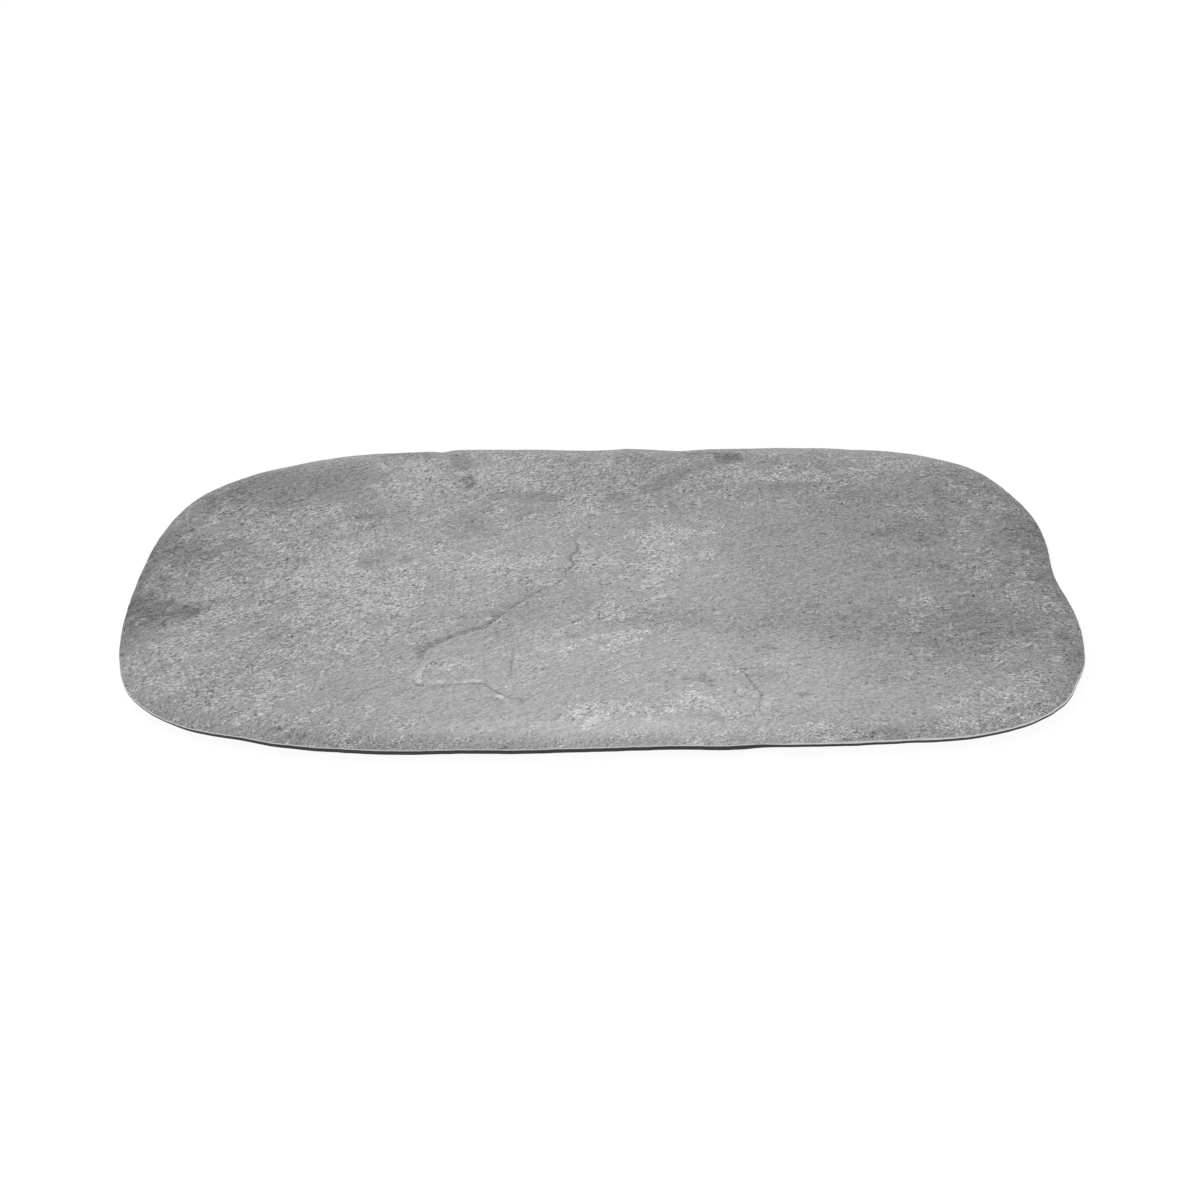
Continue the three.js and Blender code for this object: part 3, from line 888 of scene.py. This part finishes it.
def turned(outline, centre):
    """Vertices and faces of a closed outline of (radius, level) turned about an upright axis."""
    angles = np.linspace(0, 2 * math.pi, TURN_STEPS, endpoint=False)
    around = np.column_stack([np.cos(angles), np.sin(angles)])
    vertices = []
    for radius, level in outline:
        ring = np.array(centre[:2]) + radius * around
        vertices.append(np.column_stack([ring, np.full(TURN_STEPS, level)]))
    rows = [list(range(i * TURN_STEPS, (i + 1) * TURN_STEPS)) for i in range(len(outline))]
    return np.vstack(vertices), closed_stack(rows)


feet = {}
for corner in ("front_left", "front_right", "back_left", "back_right"):
    low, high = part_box("foot_" + corner)
    centre = (low + high) / 2
    vertices, faces = turned(boss_outline, centre)
    base_faces += [[index + len(base_vertices) for index in face] for face in faces]
    base_vertices = np.vstack([base_vertices, vertices])
    feet[corner] = add_piece("foot_" + corner + "_finish", *turned(foot_outline, centre))
black_base = add_piece("black_base_finish", base_vertices, base_faces)

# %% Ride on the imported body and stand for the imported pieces
stands_for = [(stone_face, "stone_face", "stone_face"), (black_base, "black_base", "black_base")]
stands_for += [(foot, "foot_" + corner, "foot") for corner, foot in feet.items()]
for piece, node, slot in stands_for:
    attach(piece, "root")
    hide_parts(node)
print("pieces that stand for packed ones:", len(stands_for))

# %% [markdown]
# A toolbox for the finishes.
# Every finish is a network of shader nodes that reads the place on the object in millimetres, so the scale
# of each speck is the real one. A few short helpers keep the networks readable: one adds a node and links
# its inputs, and the rest name the sums that come up again and again.


# %% Helpers for node networks
class Network:
    """Adds nodes to a material or a node group and links them."""

    def __init__(self, tree):
        self.tree = tree

    def node(self, kind, inputs=None, **settings):
        made = self.tree.nodes.new(kind)
        for name, value in settings.items():
            setattr(made, name, value)
        for key, value in (inputs or {}).items():
            self.feed(made.inputs[key], value)
        return made

    def feed(self, socket, value):
        if isinstance(value, bpy.types.NodeSocket):
            self.tree.links.new(value, socket)
        else:
            socket.default_value = value

    def math(self, operation, a, b=0.0):
        return self.node("ShaderNodeMath", {0: a, 1: b}, operation=operation).outputs[0]

    def add(self, *values):
        total = values[0]
        for value in values[1:]:
            total = self.math("ADD", total, value)
        return total

    def minus(self, a, b):
        return self.math("SUBTRACT", a, b)

    def times(self, a, b):
        return self.math("MULTIPLY", a, b)

    def step(self, value, low, high):
        """A smooth step from 0 to 1 as value goes from low to high."""
        return self.node(
            "ShaderNodeMapRange", {"Value": value, "From Min": low, "From Max": high},
            interpolation_type="SMOOTHSTEP").outputs["Result"]

    def mix(self, share, a, b):
        """Goes from a to b as the share goes from 0 to 1."""
        return self.node("ShaderNodeMix", {"Factor": share, "A": a, "B": b}).outputs["Result"]

    def grey(self, tone):
        """A colour with the same tone in all three channels."""
        channels = {"Red": tone, "Green": tone, "Blue": tone}
        return self.node("ShaderNodeCombineColor", channels).outputs["Color"]

    def specks(self, place, size, detail=2.0, rough=0.5):
        """Noise from 0 to 1 with lumps about one size across, in millimetres."""
        return self.node(
            "ShaderNodeTexNoise",
            {"Vector": place, "Scale": 1.0 / size, "Detail": detail, "Roughness": rough}).outputs["Fac"]

    def place(self):
        """The place on the object, in millimetres."""
        where = self.node("ShaderNodeTexCoord").outputs["Object"]
        return self.node("ShaderNodeVectorMath", {0: where, "Scale": 1.0 / MM}, operation="SCALE").outputs[0]

    def shifted(self, place, x, y):
        """The same place moved aside, so that two noises of one size don't agree."""
        return self.node("ShaderNodeVectorMath", {0: place, 1: (x, y, 0.0)}, operation="ADD").outputs[0]


def new_group(name, inputs, outputs):
    """A shader node group with named sockets: (name, socket type, default)."""
    group = bpy.data.node_groups.new(name, "ShaderNodeTree")
    for title, kind, default in inputs:
        socket = group.interface.new_socket(name=title, in_out="INPUT", socket_type=kind)
        socket.default_value = default
    for title, kind in outputs:
        group.interface.new_socket(name=title, in_out="OUTPUT", socket_type=kind)
    network = Network(group)
    return group, network, network.node("NodeGroupInput"), network.node("NodeGroupOutput")


def new_material(name):
    """An empty material with a Principled BSDF."""
    material = bpy.data.materials.new(name)
    material.use_nodes = True
    shader = material.node_tree.nodes["Principled BSDF"]
    return material, Network(material.node_tree), shader


print("node helpers ready")

# %% [markdown]
# Moulded grain.
# Melamine copies its mould, so every piece has some fine grain: strong on the stone face, faint on the black
# base and the feet. It is one node group, placed in each material with its own size and its own number of
# pits. It puts out a height, which drives the bump and on the stone the tone too, and a mask of the pits.

# %% The moulded grain group
HOLLOW_ASIDE = (40, 90)  # where the noise of the pits is read
HOLLOW_SCALE = 0.45  # pits lie further apart than lumps
PIT_EDGE = 0.10
PIT_DEPTH = 0.12

grain_group, net, source, sink = new_group(
    "moulded_grain",
    [("Place", "NodeSocketVector", (0, 0, 0)),
     ("Size", "NodeSocketFloat", 1.0),
     ("Pits", "NodeSocketFloat", 0.36)],
    [("Height", "NodeSocketFloat"), ("Pit", "NodeSocketFloat")])
where, size, pits = (source.outputs[name] for name in ("Place", "Size", "Pits"))
density = net.math("DIVIDE", 1.0, size)
lumps = net.node(
    "ShaderNodeTexNoise",
    {"Vector": where, "Scale": density, "Detail": 2.5, "Roughness": 0.7}).outputs["Fac"]
hollows = net.node(
    "ShaderNodeTexNoise",
    {"Vector": net.shifted(where, *HOLLOW_ASIDE), "Scale": net.times(density, HOLLOW_SCALE),
     "Detail": 1.0, "Roughness": 0.5}).outputs["Fac"]
pit = net.step(hollows, pits, net.minus(pits, PIT_EDGE))
net.feed(sink.inputs["Height"], net.minus(lumps, net.times(pit, PIT_DEPTH)))
net.feed(sink.inputs["Pit"], pit)
print("group:", grain_group.name, "nodes:", len(grain_group.nodes))

# %% [markdown]
# The stone face finish.
# The print has layers, and so does the material: a mid grey with slow clouds that run across the face, the
# painted patches, pale flakes and dark crevices that crowd in the light patches, painted light and shade on
# the sides of the strokes, the moulded grain, pits, pinholes and cracks, painted shade down the rolled edge,
# and the pale cut rim where the print stops. All of them add to one grey tone. The same grain, flakes and
# crevices drive the bump, because on the real platter the print follows the embossing.


# %% Read the marks that were painted on the mesh
def placed_group(net, group, inputs):
    """A node group placed in a network, with its inputs fed."""
    made = net.tree.nodes.new("ShaderNodeGroup")
    made.node_tree = group
    for name, value in inputs.items():
        net.feed(made.inputs[name], value)
    return made


stone, net, shader = new_material("stone_print")
place = net.place()
marks = {
    name: net.node("ShaderNodeAttribute", attribute_name=name + "_mark").outputs["Fac"]
    for name in ("crack", "dark", "flake", "wash", "roll", "rim", "cut")
}
print("marks read:", ", ".join(marks))

# %% [markdown]
# The grain has a run.
# On the real face everything fine is drawn out into short strokes, which rise to the right and level off as
# they go. Noise has no direction of its own, so the place is bent and squeezed before a noise reads it: a
# slope that falls off along the face is taken out of it, and its length is divided by the stretch. Each
# noise is also read a long way aside from the others, so that no two of them agree.

# %% Bend the place along the strokes, and list the noises
RUN_OF_CLOUDS, CLOUD_STRETCH = math.radians(38), 2.0
STROKE_RISE, STROKE_BEND = 0.33, -0.0006  # slope at the middle, and its change for each millimetre
STROKE_STRETCH = 1.8
# How far aside a noise is read, the size of its lumps in millimetres, its detail and its roughness
STONE_NOISES = {
    "clouds": (0, 0, 42.0, 4.0, 0.60),
    "layers": (300, 0, 7.0, 6.0, 0.72),
    "smears": (90, 20, 9.0, 6.0, 0.70),
    "ridge": (0, 300, 3.6, 3.0, 0.65),
    "opening": (70, 70, 6.0, 1.0, 0.50),
    "mottle": (0, 40, 2.0, 3.0, 0.70),
    "shade_strokes": (150, 60, 5.0, 5.0, 0.70),
    "rim": (0, 0, 2.5, 2.0, 0.50),
}
HALF = 0.5  # noise lies from 0 to 1, about a half


def stone_noise(name, place):
    """One of the stone's noises, read at a place."""
    x, y, size, detail, rough = STONE_NOISES[name]
    return net.specks(net.shifted(place, x, y), size, detail, rough)


run = net.node(
    "ShaderNodeMapping",
    {"Vector": place, "Rotation": (0, 0, RUN_OF_CLOUDS), "Scale": (CLOUD_STRETCH, 1.0, 1.0)},
    vector_type="TEXTURE").outputs["Vector"]
across, up, level = net.node("ShaderNodeSeparateXYZ", {"Vector": place}).outputs
stroke = net.times(across, net.add(net.times(across, STROKE_BEND), STROKE_RISE))
drawn = net.node(
    "ShaderNodeCombineXYZ",
    {"X": net.math("DIVIDE", across, STROKE_STRETCH), "Y": net.minus(up, stroke), "Z": level},
).outputs["Vector"]
print("noises listed:", len(STONE_NOISES))

# %% Clouds, flakes and stains
FLAKE_PULL, FLAKE_EDGE = 0.15, (0.47, 0.57)  # how far a painted mark moves the flakes, and their soft edge
STAIN_PULL, STAIN_EDGE = 0.12, (0.07, 0.13)

clouds = net.minus(stone_noise("clouds", run), HALF)
layers = stone_noise("layers", drawn)
flake = net.step(net.add(layers, net.times(marks["flake"], FLAKE_PULL)), *FLAKE_EDGE)
smears = net.minus(stone_noise("smears", drawn), HALF)
stain = net.step(net.add(net.times(marks["dark"], STAIN_PULL), smears), *STAIN_EDGE)
print("nodes so far:", len(stone.node_tree.nodes))

# %% Crevices, mottle and painted light and shade
CREVICE_EDGE = (0.032, 0.004)  # a crevice runs where the ridge noise crosses its half
CREVICE_OPEN = (0.46, 0.60)  # and only in parts
SHADE_STEP = (-0.45, 0.85)  # millimetres towards the light of the painted light and shade on the strokes

ridge = net.minus(stone_noise("ridge", place), HALF)
opening = stone_noise("opening", place)
crevice = net.times(net.step(net.math("ABSOLUTE", ridge), *CREVICE_EDGE), net.step(opening, *CREVICE_OPEN))
crevice = net.times(crevice, flake)
mottle = net.minus(stone_noise("mottle", drawn), HALF)
# painted light and shade: each stroke is lighter on its side towards the back left and darker on the other
# side, as embossing lit from there would be
lit_side = net.shifted(drawn, *SHADE_STEP)
shade = net.minus(stone_noise("shade_strokes", drawn), stone_noise("shade_strokes", lit_side))
print("nodes so far:", len(stone.node_tree.nodes))

# %% Grain, specks and pinholes
STONE_GRAIN, STONE_PITS = 0.78, 0.28
SPECK_EDGE = (0.05, 0.20)
PINHOLE_SPACING = 7.0  # millimetres
PINHOLE_SHARE = 0.15  # of the places that could have one
PINHOLE_LEAST, PINHOLE_MORE = 0.08, 0.08  # radius in shares of the spacing, and what chance adds to it
PINHOLE_EDGE = (1.2, 0.6)

grain = placed_group(net, grain_group, {"Place": drawn, "Size": STONE_GRAIN, "Pits": STONE_PITS})
grain_height = net.minus(grain.outputs["Height"], HALF)
pit = grain.outputs["Pit"]
speck = net.times(net.step(grain_height, *SPECK_EDGE), flake)
cells = net.node(
    "ShaderNodeTexVoronoi", {"Vector": place, "Scale": 1.0 / PINHOLE_SPACING}, voronoi_dimensions="2D")
chance = net.node("ShaderNodeSeparateColor", {"Color": cells.outputs["Color"]}).outputs
radius = net.add(net.times(chance["Green"], PINHOLE_MORE), PINHOLE_LEAST)
pinhole = net.step(net.math("DIVIDE", cells.outputs["Distance"], radius), *PINHOLE_EDGE)
pinhole = net.times(pinhole, net.math("LESS_THAN", chance["Red"], PINHOLE_SHARE))
print("nodes so far:", len(stone.node_tree.nodes))

# %% Add up the tone of the stone
STONE_TONE = 0.306
CLOUD_TONE, STAIN_TONE, FLAKE_TONE = 0.12, -0.055, 0.070
SPECK_TONE, CREVICE_TONE, CRACK_TONE = 0.09, -0.14, -0.165
PIT_TONE, PINHOLE_TONE = -0.04, -0.13
GRAIN_TONE, GRAIN_ON_FLAKE = 0.76, 0.85
MOTTLE_TONE, MOTTLE_ON_FLAKE = 0.22, 0.19
SHADE_TONE = 0.35
SMEAR_TONE = 0.06
# painted shade: the face is made darker down the rolled edge towards the rim, on top of the shading that its
# tilt gets from the lamps
ROLL_SHADE_TONE, ROLL_CURVE = -0.030, 1.5

grain_swing = net.add(net.times(flake, GRAIN_ON_FLAKE), GRAIN_TONE)
mottle_swing = net.add(net.times(flake, MOTTLE_ON_FLAKE), MOTTLE_TONE)
tone = net.add(
    net.times(clouds, CLOUD_TONE),
    marks["wash"],
    net.times(stain, STAIN_TONE),
    net.times(flake, FLAKE_TONE),
    net.times(mottle, mottle_swing),
    net.times(shade, SHADE_TONE),
    net.times(smears, SMEAR_TONE),
    net.times(speck, SPECK_TONE),
    net.times(crevice, CREVICE_TONE),
    net.times(grain_height, grain_swing),
    net.times(pit, PIT_TONE),
    net.times(pinhole, PINHOLE_TONE),
    net.times(marks["crack"], CRACK_TONE),
    net.times(net.math("POWER", marks["roll"], ROLL_CURVE), ROLL_SHADE_TONE),
    STONE_TONE)
print("nodes so far:", len(stone.node_tree.nodes))

# %% Add the pale rim and the cut edge
RIM_TONE, RIM_FRAY, RIM_EDGE = 0.67, 0.35, (0.62, 0.85)
BLACK_TONE, CUT_FRAY, CUT_EDGE = 0.014, 0.5, (0.40, 0.70)  # the print stops short of the foot of the cut

rim_break = net.minus(stone_noise("rim", place), HALF)
pale = net.step(net.add(marks["rim"], net.times(rim_break, RIM_FRAY)), *RIM_EDGE)
black = net.step(net.add(marks["cut"], net.times(rim_break, CUT_FRAY)), *CUT_EDGE)
tone = net.mix(black, net.mix(pale, tone, RIM_TONE), BLACK_TONE)
net.feed(shader.inputs["Base Color"], net.grey(tone))
print("nodes so far:", len(stone.node_tree.nodes))

# %% Roughness and relief of the stone
STONE_ROUGHNESS, FLAKE_ROUGHER, STAIN_SMOOTHER = 0.60, 0.10, -0.08
MOTTLE_RISE, FLAKE_RISE, CREVICE_RISE, PIT_RISE, PINHOLE_RISE = 1.2, 0.35, -0.4, -0.3, -0.4
RELIEF_DEPTH = 0.36 * MM

uneven = net.add(net.times(flake, FLAKE_ROUGHER), net.times(stain, STAIN_SMOOTHER))
net.feed(shader.inputs["Roughness"], net.add(uneven, STONE_ROUGHNESS))
shader.inputs["Specular IOR Level"].default_value = 0.35
relief = net.add(
    grain_height,
    net.times(mottle, MOTTLE_RISE),
    net.times(flake, FLAKE_RISE),
    net.times(crevice, CREVICE_RISE),
    net.times(pit, PIT_RISE),
    net.times(pinhole, PINHOLE_RISE))
bump = net.node("ShaderNodeBump", {"Height": relief, "Strength": 1.0, "Distance": RELIEF_DEPTH})
net.feed(shader.inputs["Normal"], bump.outputs["Normal"])
stone_face.data.materials.append(stone)
print("stone nodes:", len(stone.node_tree.nodes))

# %% [markdown]
# The black base and the feet.
# The base is the same melamine coloured black, with a satin mould finish. The feet are matt silicone, a shade
# greyer and softer. Both take the moulded grain at a low strength, and slow clouds that make the tone and
# the sheen a little uneven, so one helper builds both from their own values.

# %% Build the black and silicone finishes
FEW_PITS = 0.25
SHEEN_CLOUD = 30.0  # millimetres across
SHEEN_SPREAD = 0.2
FAINT_BUMP, FAINT_DEPTH = 0.6, 0.08 * MM


def moulded(name, tone, spread, roughness, grain_size):
    """A dark moulded finish with faint grain and uneven sheen."""
    material, net, shader = new_material(name)
    place = net.place()
    grain = placed_group(net, grain_group, {"Place": place, "Size": grain_size, "Pits": FEW_PITS})
    height = grain.outputs["Height"]
    clouds = net.minus(net.specks(place, SHEEN_CLOUD, detail=4.0), HALF)
    shade = net.add(tone, net.times(clouds, spread), net.times(net.minus(height, HALF), spread))
    net.feed(shader.inputs["Base Color"], net.grey(shade))
    net.feed(shader.inputs["Roughness"], net.add(roughness, net.times(clouds, SHEEN_SPREAD)))
    bump = net.node("ShaderNodeBump", {"Height": height, "Strength": FAINT_BUMP, "Distance": FAINT_DEPTH})
    net.feed(shader.inputs["Normal"], bump.outputs["Normal"])
    return material


black_melamine = moulded("black_melamine", tone=0.014, spread=0.010, roughness=0.48, grain_size=0.9)
silicone = moulded("matt_silicone", tone=0.035, spread=0.014, roughness=0.75, grain_size=0.7)
black_base.data.materials.append(black_melamine)
for foot in feet.values():
    foot.data.materials.append(silicone)
print("materials:", [material.name for material in bpy.data.materials])

# %% [markdown]
# Floor and light.
# The platter is shown on plain white. The floor is a wide pale sheet under even light: the sky gives more
# than half of it, and one broad, soft sun from behind on the left gives the rest, so a colour shows about as
# it is written. Most of the floor's white is its own glow, which lights nothing, and keeps the shadow under
# the edge as faint as in a product picture. The camera sees the sky as plain white.

# %% Lay the floor
FLOOR_HALF = 4.0
FLOOR_GLOW = 0.94  # share of the white that the camera sees as glow
GLOW_STRENGTH = 1.01
PAPER_TONE = 0.96

floor_corners = [(x * FLOOR_HALF, y * FLOOR_HALF, 0.0) for x, y in ((-1, -1), (1, -1), (1, 1), (-1, 1))]
floor = add_piece("floor", floor_corners, [[0, 1, 2, 3]])
floor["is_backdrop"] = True


def seen_directly(net):
    """1 for rays from the camera, and for those that a glossy or clear surface passes on."""
    path = net.node("ShaderNodeLightPath").outputs
    seen = net.add(path["Is Camera Ray"], path["Is Glossy Ray"], path["Is Transmission Ray"])
    return net.math("MINIMUM", seen, 1.0)


paper, net, shader = new_material("white_paper")
shader.inputs["Base Color"].default_value = (PAPER_TONE, PAPER_TONE, PAPER_TONE, 1)
shader.inputs["Roughness"].default_value = 0.9
shader.inputs["Specular IOR Level"].default_value = 0.0
glow = net.node("ShaderNodeEmission", {"Color": (1, 1, 1, 1), "Strength": GLOW_STRENGTH})
mixed = net.node("ShaderNodeMixShader", {0: net.times(seen_directly(net), FLOOR_GLOW)})
net.feed(mixed.inputs[1], shader.outputs["BSDF"])
net.feed(mixed.inputs[2], glow.outputs["Emission"])
net.feed(paper.node_tree.nodes["Material Output"].inputs["Surface"], mixed.outputs["Shader"])
floor.data.materials.append(paper)
print("floor is", 2 * FLOOR_HALF, "m wide")

# %% Light it
SKY_STRENGTH = 0.60
SUN_STRENGTH = 1.45
SUN_ANGLE = 40.0
SUN_TILT = (math.radians(-20), math.radians(-24))  # from straight down, about X and about Y

world = bpy.data.worlds.new("white_studio")
bpy.context.scene.world = world
world.use_nodes = True
net = Network(world.node_tree)
sky = world.node_tree.nodes["Background"]
sky.inputs["Color"].default_value = (1, 1, 1, 1)
net.feed(sky.inputs["Strength"], net.mix(seen_directly(net), SKY_STRENGTH, 1.0))

sun_data = bpy.data.lights.new("soft_sun", "SUN")
sun_data.energy = SUN_STRENGTH
sun_data.angle = math.radians(SUN_ANGLE)
sun = bpy.data.objects.new("soft_sun", sun_data)
sun.rotation_euler = (*SUN_TILT, 0.0)
bpy.context.scene.collection.objects.link(sun)
sun_share = SUN_STRENGTH * math.cos(SUN_TILT[0]) * math.cos(SUN_TILT[1]) / math.pi
print("light on a level surface, sky and sun:", SKY_STRENGTH, "and", round(sun_share, 2))

# %% [markdown]
# The camera.
# The view is from the front, about a third of the way up from the table to straight overhead, with a longish
# lens. The camera could be turned towards the platter by a constraint, but it is simpler to stand it back
# along that slope from a point near the middle of the platter and tilt it by the same angle.

# %% Place the camera
VIEW_ELEVATION = math.radians(32.26)
VIEW_DISTANCE = 1127 * MM
AIM = Vector((-0.1 * MM, -12.2 * MM, 1.0 * MM))
camera_data = bpy.data.cameras.new("camera")
camera_data.sensor_width = 36.0
camera_data.lens = 59.4
camera = bpy.data.objects.new("camera", camera_data)
back = Vector((0.0, -math.cos(VIEW_ELEVATION), math.sin(VIEW_ELEVATION)))
camera.location = AIM + back * VIEW_DISTANCE
camera.rotation_euler = (math.pi / 2 - VIEW_ELEVATION, 0.0, 0.0)
bpy.context.scene.collection.objects.link(camera)
bpy.context.scene.camera = camera
bpy.context.scene.view_settings.view_transform = "Standard"
print("camera at mm:", [round(value / MM) for value in camera.location])

# %% Print the finished size, to set beside the imported size, and finish
low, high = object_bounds()
print("finished box in mm:", [round(side / MM, 1) for side in high - low])
